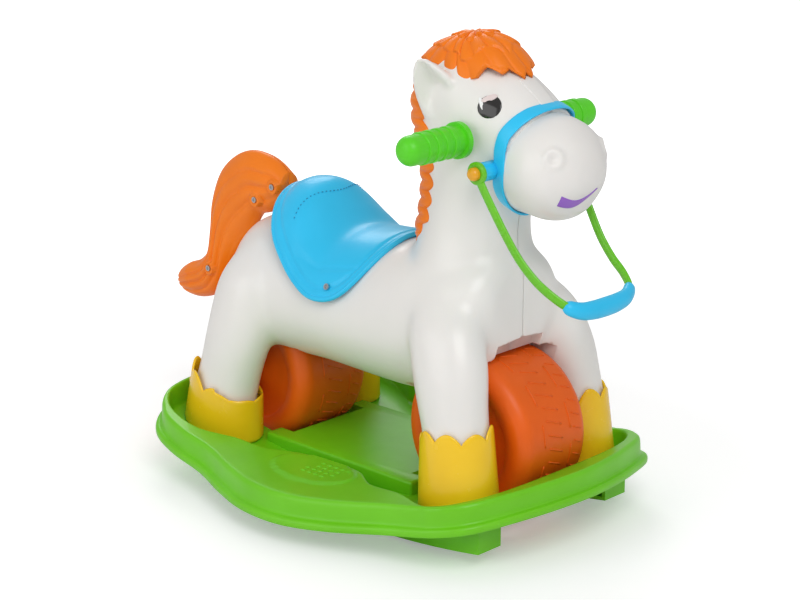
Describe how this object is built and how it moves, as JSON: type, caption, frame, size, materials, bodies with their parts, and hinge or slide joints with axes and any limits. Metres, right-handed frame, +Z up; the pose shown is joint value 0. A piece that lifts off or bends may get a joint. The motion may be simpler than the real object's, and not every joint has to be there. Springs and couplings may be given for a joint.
{
  "type": "rocking horse",
  "caption": "Child's ride-on rocking horse: moulded horse with saddle, hand grips, swinging rein and fat wheels, standing in a lift-off rocker base.",
  "frame": {"origin": "on the floor, under the middle of the whole object's bounding box", "axes": "+Z up; the horse faces -Y; +X points to the horse's own left"},
  "size_m": [0.5086, 0.7771, 0.6152],
  "materials": {
    "white": "blow moulded, glossy",
    "mane_orange": "blow moulded, satin",
    "wheel_orange": "blow moulded, satin",
    "sky_blue": "injection moulded, glossy",
    "rein_green": "injection moulded, glossy",
    "grip_green": "soft moulded grip",
    "base_green": "blow moulded, satin",
    "hoof_yellow": "injection moulded, glossy",
    "cap_amber": "injection moulded, glossy",
    "mouth_purple": "printed inlay, glossy",
    "eye_black": "glossy inlay",
    "steel": "zinc plated"
  },
  "bodies": {
    "rocker": {"rocker_base": "base_green", "runner_left": "base_green", "runner_right": "base_green"},
    "horse": {"body_right": "white", "body_left": "white", "muzzle": "white", "bridge_cover": "white", "forelock": "mane_orange", "neck_mane": "mane_orange", "tail_left": "mane_orange", "tail_right": "mane_orange", "noseband": "sky_blue", "saddle": "sky_blue", "grip_left": "grip_green", "grip_right": "grip_green", "hoof_front_left": "hoof_yellow", "hoof_front_right": "hoof_yellow", "hoof_rear_left": "hoof_yellow", "hoof_rear_right": "hoof_yellow", "rein_cap_left": "cap_amber", "rein_cap_right": "cap_amber", "mouth_inlay": "mouth_purple", "eye_right": "eye_black", "eye_left": "eye_black", "handle_bar": "steel", "front_axle": "steel", "rear_axle": "steel", "front_axle_clips": "steel", "rear_axle_clips": "steel", "rein_pins": "steel", "saddle_screws": "steel", "tail_screws": "steel"},
    "front_wheel_body": {"front_wheel": "wheel_orange"},
    "rear_wheel_body": {"rear_wheel": "wheel_orange"},
    "rein": {"rein_hoop": "rein_green", "rein_grip": "sky_blue"}
  },
  "joints": [
    {"name": "horse_lift", "type": "slide", "parent": "rocker", "child": "horse", "axis": [0, 0, 1], "range_m": [0, 0.15]},
    {"name": "front_wheel_spin", "type": "hinge", "parent": "horse", "child": "front_wheel_body", "pos_m": [0, -0.213, 0.121], "axis": [1, 0, 0], "continuous": true},
    {"name": "rear_wheel_spin", "type": "hinge", "parent": "horse", "child": "rear_wheel_body", "pos_m": [0, 0.169, 0.121], "axis": [1, 0, 0], "continuous": true},
    {"name": "rein_swing", "type": "hinge", "parent": "horse", "child": "rein", "pos_m": [0, -0.251, 0.463], "axis": [-1, 0, 0], "range_deg": [-12, 48]}
  ]
}
